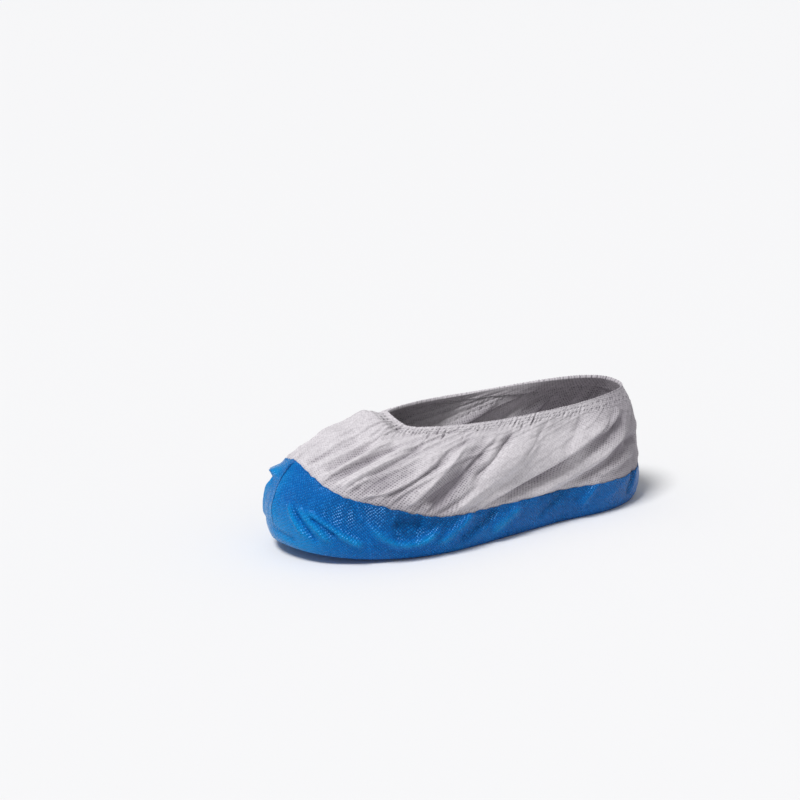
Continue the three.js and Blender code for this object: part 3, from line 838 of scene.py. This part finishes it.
@dataclass(frozen=True)
class EmbossedFilm:
    """Embossed polyethylene film: blue, half glossy, pressed with a fine diamond pattern."""

    name: str
    blue: str = "#005cac"
    # Ends of the painted tone: deep is painted shade, pale is painted light and stress whitening
    deep: str = "#00417f"
    pale: str = "#0588cc"
    # Lighter blue of the painted glints on random diamond crests
    glint_paint: str = "#1c8ee2"
    # Real diamonds are nearer 1.2 mm, too fine to show at this size
    diamond_mm: float = 1.75
    wear_mm: float = 26.0
    roughness: float = 0.25
    emboss_depth_mm: float = 0.5

    def make(self) -> bpy.types.Material:
        """The material: each pressed diamond catches the light at its own angle, so the film glitters, and random
        diamond crests are painted lighter as painted glints.
        """
        material = bpy.data.materials.new(self.name)
        material.use_nodes = True
        tree = material.node_tree
        tree.nodes.clear()
        place = add_node(tree, "ShaderNodeUVMap", {"uv_map": "cut"}).outputs["UV"]
        turned = add_node(
            tree,
            "ShaderNodeMapping",
            {"Rotation": (0.0, 0.0, math.radians(45)), "Scale": (1 / (self.diamond_mm * MM),) * 3},
            {"Vector": place},
        )
        diamonds = add_node(
            tree,
            "ShaderNodeTexVoronoi",
            {"feature": "F1", "distance": "CHEBYCHEV", "Scale": 1.0, "Randomness": 0.25},
            {"Vector": turned.outputs["Vector"]},
        )
        raised = add_node(
            tree,
            "ShaderNodeMapRange",
            {"From Min": 0.12, "From Max": 0.46, "To Min": 1.0, "To Max": 0.0},
            {"Value": diamonds.outputs["Distance"]},
        )
        clouds = add_node(
            tree, "ShaderNodeTexNoise", {"Scale": 1 / (self.wear_mm * MM), "Detail": 5.0}, {"Vector": place}
        )
        bonded = add_node(
            tree,
            "ShaderNodeMapRange",
            {"From Min": 0.3, "From Max": 0.7, "To Min": -0.12, "To Max": 0.12},
            {"Value": clouds.outputs["Fac"]},
        )
        # The painted_tone attribute carries the film's painted light and shade, with stress whitening on the crests
        tone_paint = add_node(tree, "ShaderNodeAttribute", {"attribute_name": "painted_tone"})
        light_and_stress = add_node(
            tree, "ShaderNodeMath", {"operation": "ADD"}, {0: bonded.outputs["Result"], 1: tone_paint.outputs["Fac"]}
        )
        # The tone runs from deep, the painted shade, through blue to pale, the painted light; the cloud noise adds a
        # random tone
        tint = add_node(tree, "ShaderNodeValToRGB", {}, {"Fac": light_and_stress.outputs["Value"]})
        tint.color_ramp.elements[0].color = linear(self.deep)
        tint.color_ramp.elements[1].color = linear(self.pale)
        tint.color_ramp.elements.new(0.45).color = linear(self.blue)
        chance = add_node(tree, "ShaderNodeSeparateColor", {}, {"Color": diamonds.outputs["Color"]})
        # Painted glints: random diamond crests are painted a lighter blue
        glint = add_node(
            tree,
            "ShaderNodeMapRange",
            {"From Min": 0.35, "From Max": 1.0, "To Min": 0.3, "To Max": 0.85},
            {"Value": chance.outputs["Red"]},
        )
        painted_glint = add_node(
            tree,
            "ShaderNodeMath",
            {"operation": "MULTIPLY"},
            {0: raised.outputs["Result"], 1: glint.outputs["Result"]},
        )
        glint_painted_tint = add_node(
            tree,
            "ShaderNodeMix",
            {"data_type": "RGBA", 7: linear(self.glint_paint)},
            {0: painted_glint.outputs["Value"], 6: tint.outputs["Color"]},
        )
        gloss = add_node(
            tree,
            "ShaderNodeMapRange",
            {"From Min": 0.3, "From Max": 0.7, "To Min": self.roughness - 0.05, "To Max": self.roughness + 0.1},
            {"Value": clouds.outputs["Fac"]},
        )
        pressed = add_node(
            tree,
            "ShaderNodeBump",
            {"Strength": 1.0, "Distance": self.emboss_depth_mm * MM},
            {"Height": raised.outputs["Result"]},
        )
        surface = add_node(
            tree,
            "ShaderNodeBsdfPrincipled",
            {"IOR": 1.51, "Specular IOR Level": 0.42, "Specular Tint": (0.26, 0.56, 1.0, 1.0)},
            {
                "Base Color": glint_painted_tint.outputs[2],
                "Roughness": gloss.outputs["Result"],
                "Normal": pressed.outputs["Normal"],
            },
        )
        add_node(tree, "ShaderNodeOutputMaterial", {}, {"Surface": surface.outputs["BSDF"]})
        return material


class Held(Enum):
    """How a sheet is held."""

    GATHERED = "gathered"
    STRETCHED = "stretched"


@dataclass
class RingMesh:
    """A mesh laid in rings round the cover, with the cloth's own flat coordinates."""

    name: str
    points: list[np.ndarray] = field(default_factory=list)
    quads: list[np.ndarray] = field(default_factory=list)
    cuts: list[np.ndarray] = field(default_factory=list)
    pins: list[np.ndarray] = field(default_factory=list)
    painted_tones: list[np.ndarray] = field(default_factory=list)
    count: int = 0

    def add_grid(
        self,
        rows: np.ndarray,
        cut: np.ndarray,
        outward: bool,
        pin: np.ndarray | float = 0.0,
        painted_tone: np.ndarray | float = 0.0,
    ) -> np.ndarray:
        """Adds a closed grid of rings.

        Args:
            rows: Points by row and column, from the top down.
            cut: Flat coordinates by row and column, with one more column than the points.
            outward: Whether the faces look away from the cover.
            pin: How deep in a needle hole each point is.
            painted_tone: How much painted shade the cloth, or painted light and shade the film, gets at each point.

        Returns:
            The points' numbers, by row and column.
        """
        count, columns = rows.shape[:2]
        numbers = self.count + np.arange(count * columns).reshape(count, columns)
        self.points.append(rows.reshape(-1, 3))
        self.pins.append(np.broadcast_to(pin, (count, columns)).reshape(-1))
        self.painted_tones.append(np.broadcast_to(painted_tone, (count, columns)).reshape(-1))
        self.count += count * columns
        ahead = np.roll(numbers, -1, axis=1)
        corners = [numbers[1:], ahead[1:], ahead[:-1], numbers[:-1]]
        flats = [cut[1:, :-1], cut[1:, 1:], cut[:-1, 1:], cut[:-1, :-1]]
        if not outward:
            corners.reverse()
            flats.reverse()
        self.quads.append(np.stack(corners, axis=-1).reshape(-1, 4))
        self.cuts.append(np.stack(flats, axis=-2).reshape(-1, 4, 2))
        return numbers

    def join_rings(self, above: np.ndarray, below: np.ndarray) -> None:
        """Closes the narrow edge between two rings of points."""
        quads = np.stack([below, np.roll(below, -1), np.roll(above, -1), above], axis=-1)
        self.quads.append(quads)
        self.cuts.append(np.zeros((len(quads), 4, 2)))

    def build(self, material: bpy.types.Material) -> bpy.types.Object:
        """Makes the mesh and its object, in metres.

        Args:
            material: The finish.

        Returns:
            The object.
        """
        points = np.concatenate(self.points) * MM
        quads, cuts = np.concatenate(self.quads), np.concatenate(self.cuts)
        mesh = bpy.data.meshes.new(self.name)
        mesh.from_pydata(points.tolist(), [], quads.tolist())
        layer = mesh.uv_layers.new(name="cut")
        layer.data.foreach_set("uv", (cuts * MM).reshape(-1))
        for name, values in (("pin", self.pins), ("painted_tone", self.painted_tones)):
            mesh.attributes.new(name, "FLOAT", "POINT").data.foreach_set("value", np.concatenate(values))
        work = bmesh.new()
        work.from_mesh(mesh)
        bmesh.ops.remove_doubles(work, verts=work.verts, dist=WELD)
        work.to_mesh(mesh)
        work.free()
        mesh.shade_smooth()
        mesh.materials.append(material)
        piece = bpy.data.objects.new(self.name, mesh)
        bpy.context.scene.collection.objects.link(piece)
        return piece


def flat_cut(form: WornForm, around: np.ndarray, up: np.ndarray) -> np.ndarray:
    """The cloth's flat coordinates: lengths round the cover and up its wall.

    Args:
        form: The worn form.
        around: Places round the outline.
        up: Shares of the wall, by row and column.

    Returns:
        Flat coordinates by row and column, with the first column repeated at the end.
    """
    closed = np.append(around, 1.0)
    ring = form.wall(closed, np.full((1, len(closed)), 0.45))[0]
    run = np.append(0.0, np.cumsum(np.linalg.norm(np.diff(ring, axis=0), axis=-1)))
    wall = form.wall(around, up)
    climb = np.vstack([np.zeros((1, len(around))), np.cumsum(np.linalg.norm(np.diff(wall, axis=0), axis=-1), axis=0)])
    climb = -np.hstack([climb, climb[:, :1]])
    return np.stack([np.broadcast_to(run, climb.shape), climb], axis=-1)


def sole_rows(foot: np.ndarray, rings: int, end: int) -> np.ndarray:
    """Rings that close the sole from its edge to its middle line.

    Args:
        foot: The ring at the sole's edge.
        rings: How many rings to lay.
        end: How many columns at the toe and at the heel meet in one point.

    Returns:
        The rings' points, from the edge inward.
    """
    count = len(foot)
    number = np.arange(count)
    paired = np.clip(np.minimum(number, count - number), end, count // 2 - end)
    middle = (foot[paired] + foot[(count - paired) % count]) / 2
    shares = np.linspace(0.0, 1.0, rings + 1)[1:]
    return foot + (middle - foot) * shares[:, None, None]


def place_piece(piece: bpy.types.Object, node: str) -> None:
    """Sets a finished piece in the frame in place of a CAD node."""
    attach(piece, "root")
    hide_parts(node)
    LOG.info("%s: %d faces", piece.name, len(piece.data.polygons))


def painted_cloth_shade(around: np.ndarray, up: np.ndarray, height: np.ndarray, drop: float = 0.15) -> np.ndarray:
    """How much painted shade the cloth gets: most low down and at the heel, and in the fold valleys, where shade falls;
    it stands in too for a dark shoe seen through the cloth.
    """
    places = column(CLOTH_SHADE_COLUMNS, CLOTH_PAINTED_SHADE, "around")
    low, high = (np.interp(around, places, column(CLOTH_SHADE_COLUMNS, CLOTH_PAINTED_SHADE, name)) for name in ("low", "high"))
    return np.clip(low + (high - low) * ease((up - 0.45) / 0.35) - drop * height, 0.0, 1.0)


def film_light_and_stress(around: np.ndarray, up: np.ndarray, height: np.ndarray, gain: float = 0.18) -> np.ndarray:
    """How pale the film is painted: most round the toe and near the floor, as painted light, and on the crests, partly
    as stress whitening and partly as painted highlight.
    """
    places = column(FILM_LIGHT_COLUMNS, FILM_LIGHT_AND_STRESS, "around")
    low, high = (np.interp(around, places, column(FILM_LIGHT_COLUMNS, FILM_LIGHT_AND_STRESS, name)) for name in ("low", "high"))
    return np.clip(low + (high - low) * ease((up - 0.14) / 0.22) + gain * height, 0.0, 1.0)


@dataclass
class Upper:
    """The white bag, whole, with its bottom inside the film."""

    form: WornForm
    relief: Relief
    columns: int = 720
    white_rows: int = 64
    film_rows: int = 10
    sole_rings: int = 6
    end_columns: int = 34
    wall: float = 0.8
    inset: float = 0.7
    deeper: float = 2.6
    tuck: float = 1.0
    tuck_inset: float = 0.3
    casing: float = 12.0

    def rows(self, around: np.ndarray) -> np.ndarray:
        """The shares of the wall at which the rings lie, from inside the casing to the sole."""
        top = self.form.below_hem(around, np.array([self.casing - self.tuck]))[0]
        film = self.form.outline("film", around)
        white = np.linspace(0.0, 1.0, self.white_rows)[:, None]
        blue = np.linspace(0.0, 1.0, self.film_rows + 1)[1:, None]
        return np.vstack([top + (film - top) * white, film * (1 - blue)])

    def build(self, material: bpy.types.Material) -> bpy.types.Object:
        """Makes the bag."""
        around = np.arange(self.columns) / self.columns
        up = self.rows(around)
        skin, _, height = self.relief.apply(around, up)
        film = self.form.outline("film", around)
        covered = self.inset * ease((film + 0.02 - up) / 0.02) + self.deeper * ease((film - 0.03 - up) / 0.08)
        outward = shell_normals(skin)
        top = self.form.wall(around, np.ones((1, self.columns)))
        below = np.linalg.norm(self.form.wall(around, up) - top, axis=-1)
        tucked = self.tuck_inset * ease((self.casing + self.tuck - below) / (2 * self.tuck))
        outer = skin - outward * (covered + tucked)[..., None]
        outer = np.concatenate([outer, sole_rows(outer[-1], self.sole_rings, self.end_columns)])
        inner = skin - outward * (covered + self.wall)[..., None]
        inner[..., 2] = np.maximum(inner[..., 2], outer[-1, :, 2].min() + self.wall)
        inner = np.concatenate([inner, sole_rows(inner[-1], self.sole_rings, self.end_columns)])
        cut = self.lay_out(around, up, outer)
        lining = np.append(np.arange(0, len(inner) - 1, 2), len(inner) - 1)
        mesh = RingMesh("upper_cloth")
        # Painted shade on the cloth, in fold valleys, round the heel and low on the wall
        painted_tone = np.concatenate([painted_cloth_shade(around, up, height), np.zeros((self.sole_rings, self.columns))])
        outside = mesh.add_grid(outer, cut, True, painted_tone=painted_tone)
        inside = mesh.add_grid(inner[lining], cut[lining], False, painted_tone=painted_tone[lining])
        mesh.join_rings(inside[0], outside[0])
        piece = mesh.build(material)
        place_piece(piece, "upper")
        return piece

    def lay_out(self, around: np.ndarray, up: np.ndarray, outer: np.ndarray) -> np.ndarray:
        """Flat coordinates of the wall, carried on under the sole."""
        wall = flat_cut(self.form, around, up)
        rings = len(outer) - len(up)
        steps = np.arange(1, rings + 1)[:, None, None] * np.array([0.0, -8.0])
        return np.concatenate([wall, wall[-1] + steps])


@dataclass
class SoleFilm:
    """The blue film that wraps the sole, the toe and the lower sides."""

    form: WornForm
    relief: Relief
    columns: int = 960
    wall_rows: int = 37
    sole_rings: int = 8
    end_columns: int = 45
    wall: float = 0.45

    def build(self, material: bpy.types.Material) -> bpy.types.Object:
        """Makes the film."""
        around = np.arange(self.columns) / self.columns
        film = self.form.outline("film", around)
        edge = film + 0.004 * Ripple(30, 90, 11).at(around)
        up = edge * np.linspace(1.0, 0.0, self.wall_rows)[:, None]
        skin, _, height = self.relief.apply(around, up)
        outward = shell_normals(skin)
        inner = skin - outward * self.wall
        outer = np.concatenate([skin, sole_rows(skin[-1], self.sole_rings, self.end_columns)])
        inner[..., 2] = np.maximum(inner[..., 2], self.wall)
        inner = np.concatenate([inner, sole_rows(inner[-1], self.sole_rings, self.end_columns)])
        wall = flat_cut(self.form, around, up)
        steps = np.arange(1, self.sole_rings + 1)[:, None, None] * np.array([0.0, -6.0])
        cut = np.concatenate([wall, wall[-1] + steps])
        # Painted light and shade on the film, with stress whitening on the crests
        pale = film_light_and_stress(around, up, height)
        pale = np.concatenate([pale, np.repeat(pale[-1:], self.sole_rings, axis=0)])
        mesh = RingMesh("film_tray")
        outside = mesh.add_grid(outer, cut, True, painted_tone=pale)
        inside = mesh.add_grid(inner, cut, False, painted_tone=pale)
        mesh.join_rings(inside[0], outside[0])
        piece = mesh.build(material)
        place_piece(piece, "sole_film")
        return piece


@dataclass
class Casing:
    """The casing round the opening: cloth folded over, gathered and sewn in two rows."""

    form: WornForm
    relief: Relief
    columns: int = 1440
    leg_rows: int = 16
    turn_rows: int = 6
    depth: float = 12.0
    thick: float = 2.0
    proud: float = 0.12
    calm: int = 21
    stitch_rows: tuple[float, ...] = (4.6, 8.6)
    stitch_pitch: float = 4.0
    hole: float = 0.8

    def build(self, material: bpy.types.Material) -> bpy.types.Object:
        """Makes the casing."""
        around = np.arange(self.columns) / self.columns
        below = np.linspace(self.depth, self.thick / 2, self.leg_rows)
        up = self.form.below_hem(around, below)
        skin, _, height = self.relief.apply(around, up)
        edge, _, _ = self.relief.apply(around, np.ones((1, self.columns)))
        edge = edge[0] + np.array([0.0, 0.0, 1.0]) * (0.3 * Ripple(200, 300, 12).at(around))[:, None]
        outward = shell_normals(skin[::-1])[::-1]
        flush = ease((self.depth - below) / 3.0)[:, None, None]
        outer = skin + outward * self.proud * flush
        inner = smooth_round(skin, self.calm) - smooth_round(outward, self.calm) * self.thick
        start, end = outer[-1], inner[-1]
        angles = np.linspace(0.0, math.pi, self.turn_rows + 2)[1:-1]
        centre = (start + end) / 2
        turn = [
            centre + (start - end) / 2 * math.cos(angle) + (edge - centre) * math.sin(angle) for angle in angles
        ]
        rows = np.concatenate([outer, turn, inner[::-1]])[::-1]
        legs = np.concatenate([below, [self.thick / 2] * self.turn_rows, below[::-1]])[::-1]
        hole = self.needle_holes(rows, legs, around)
        rows = rows - np.concatenate([outward, [outward[-1]] * self.turn_rows, outward[::-1]])[::-1] * (
            0.22 * hole
        )[..., None]
        ring = self.form.wall(np.append(around, 1.0), np.ones((1, self.columns + 1)))[0]
        run = np.append(0.0, np.cumsum(np.linalg.norm(np.diff(ring, axis=0), axis=-1)))
        cut = np.stack(
            [np.broadcast_to(run, (len(rows), len(run))), np.broadcast_to(-legs[:, None], (len(rows), len(run)))],
            axis=-1,
        )
        mesh = RingMesh("hem_casing")
        # Painted shade on the casing, as on the rest of the cloth
        painted_tone = painted_cloth_shade(around, up, height)
        painted_tone = np.concatenate([painted_tone, [painted_tone[-1]] * self.turn_rows, painted_tone[::-1]])
        mesh.add_grid(rows[::-1], cut[::-1], False, hole[::-1], painted_tone)
        piece = mesh.build(material)
        place_piece(piece, "hem")
        return piece

    def needle_holes(self, rows: np.ndarray, legs: np.ndarray, around: np.ndarray) -> np.ndarray:
        """How deep in a needle hole each point lies, from 0 to 1.

        Args:
            rows: The casing's points, by row and column.
            legs: Each row's distance below the edge.
            around: The columns' places round the outline.

        Returns:
            The depths, by row and column, on the outer leg alone.
        """
        ring = rows[len(rows) // 2]
        run = np.append(0.0, np.cumsum(np.linalg.norm(np.diff(ring, axis=0), axis=-1)))
        random = np.random.default_rng(SEED + 20)
        depth = np.zeros((len(rows), len(around)))
        outer = np.arange(len(rows)) > len(rows) // 2
        for row in self.stitch_rows:
            holes = np.arange(self.stitch_pitch / 2, run[-1], self.stitch_pitch)
            holes = holes + random.uniform(-1.0, 1.0, len(holes))
            drops = row + random.uniform(-0.7, 0.7, len(holes))
            for place, drop in zip(holes, drops):
                near = np.abs(run - place) < 3 * self.hole
                across = (run[near] - place)[None, :]
                down = (legs - drop)[:, None]
                spot = np.exp(-(across**2 + down**2) / self.hole**2)
                depth[:, near] = np.maximum(depth[:, near], spot * outer[:, None])
        return depth


SEAM_COLUMNS = ("up", "stand")
SEAM_STAND = (
    (0.10, 0.0), (0.17, 0.1), (0.26, 0.1), (0.36, 0.2), (0.43, 0.7), (0.475, 1.2), (0.505, 0.3),
)


@dataclass
class ToeSeam:
    """The welded edge of the film that stands out down the middle of the toe, with its free corner."""

    form: WornForm
    relief: Relief
    rows: int = 90
    thick: float = 0.7
    sunk: float = 0.3
    wave: float = 0.15
    lean: float = 0.8
    waves: float = 3.5

    def build(self, material: bpy.types.Material) -> bpy.types.Object:
        """Makes the seam allowance."""
        places, stands = table_pair(SEAM_COLUMNS, SEAM_STAND)
        around = np.array([-NUDGE, 0.0, NUDGE])
        line = np.linspace(places[-1], places[0], self.rows)
        up = np.repeat(line[:, None], 3, axis=1)
        skin, outward, _ = self.relief.apply(around, up)
        across = unit(skin[:, 2] - skin[:, 0]) * self.thick / 2
        wave = np.sin(np.linspace(0.0, 2 * math.pi * self.waves, self.rows))[:, None] * self.wave
        stand = np.interp(line, places, stands)[:, None]
        root = skin[:, 1] - outward[:, 1] * self.sunk
        crest = skin[:, 1] + outward[:, 1] * stand - across / self.thick * 2 * (self.lean * stand + wave)
        middle = (root + crest) / 2
        rows = np.stack(
            [root - across, middle - across, crest - across / 2, crest + across / 2, middle + across, root + across],
            axis=1,
        )
        cut = np.zeros((self.rows, 7, 2))
        cut[..., 0] = np.array([0.0, 1.5, 3.0, 3.5, 5.0, 6.5, 7.0])
        cut[..., 1] = -np.linspace(0.0, 60.0, self.rows)[:, None]
        mesh = RingMesh("toe_seam_edge")
        mesh.add_grid(rows, cut, False)
        piece = mesh.build(material)
        place_piece(piece, "toe_seam")
        return piece


@dataclass(frozen=True)
class Studio:
    """A plain pale floor, soft light from the toe side and above, and the camera."""

    floor_size: float = 14.0
    floor: str = "#eeeeef"
    azimuth: float = 58.1
    elevation: float = 16.05
    distance: float = 1.771
    lens: float = 103.8
    aim: tuple[float, float, float] = (-0.0364, -0.0312, 0.0931)

    def lay_floor(self) -> None:
        """Lays the floor."""
        half = self.floor_size / 2
        mesh = bpy.data.meshes.new("floor")
        mesh.from_pydata([(-half, -half, 0), (half, -half, 0), (half, half, 0), (-half, half, 0)], [], [(0, 1, 2, 3)])
        material = bpy.data.materials.new("matt_paper_floor")
        material.use_nodes = True
        surface = material.node_tree.nodes["Principled BSDF"]
        surface.inputs["Base Color"].default_value = linear(self.floor)
        surface.inputs["Roughness"].default_value = 0.9
        surface.inputs["Specular IOR Level"].default_value = 0.1
        mesh.materials.append(material)
        floor = bpy.data.objects.new("floor", mesh)
        bpy.context.scene.collection.objects.link(floor)

    def add_light(self, name: str, place: tuple[float, float, float], spread: float, power: float) -> None:
        """Hangs one far, wide and soft light that shines from a place towards the cover."""
        lamp = bpy.data.lights.new(name, "SUN")
        lamp.angle = math.radians(spread)
        lamp.energy = power
        light = bpy.data.objects.new(name, lamp)
        light.location = place
        light.rotation_euler = (-Vector(place)).to_track_quat("-Z", "Y").to_euler()
        bpy.context.scene.collection.objects.link(light)

    def light(self) -> None:
        """Hangs the lights and sets the pale surroundings."""
        world = bpy.data.worlds.new("pale_room")
        world.use_nodes = True
        world.node_tree.nodes["Background"].inputs["Color"].default_value = linear("#f5f5f6")
        world.node_tree.nodes["Background"].inputs["Strength"].default_value = 0.40
        bpy.context.scene.world = world
        self.add_light("key", (0.26, -0.90, 1.68), 20.0, 2.65)

    def add_camera(self) -> None:
        """Sets the camera at the photograph's angle."""
        turn, tilt = math.radians(self.azimuth), math.radians(self.elevation)
        back = Vector((math.sin(turn) * math.cos(tilt), -math.cos(turn) * math.cos(tilt), math.sin(tilt)))
        lens = bpy.data.cameras.new("camera")
        lens.lens = self.lens
        lens.sensor_width = 36.0
        camera = bpy.data.objects.new("camera", lens)
        camera.location = Vector(self.aim) + back * self.distance
        camera.rotation_euler = (-back).to_track_quat("-Z", "Y").to_euler()
        bpy.context.scene.collection.objects.link(camera)
        bpy.context.scene.camera = camera


def main() -> None:
    """Builds the overshoe and its studio."""
    logging.basicConfig(level=logging.INFO, format="%(message)s")
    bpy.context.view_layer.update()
    form = WornForm()
    relief = Relief(form)
    cloth = NonWoven("spot_bonded_polypropylene").make()
    film = EmbossedFilm("embossed_polyethylene_film").make()
    upper = Upper(form, relief).build(cloth)
    tray = SoleFilm(form, relief).build(film)
    hem = Casing(form, relief).build(cloth)
    seam = ToeSeam(form, relief).build(film)
    studio = Studio()
    studio.lay_floor()
    studio.light()
    studio.add_camera()
    bpy.context.scene.view_settings.view_transform = "Standard"


if __name__ == "__main__":
    main()
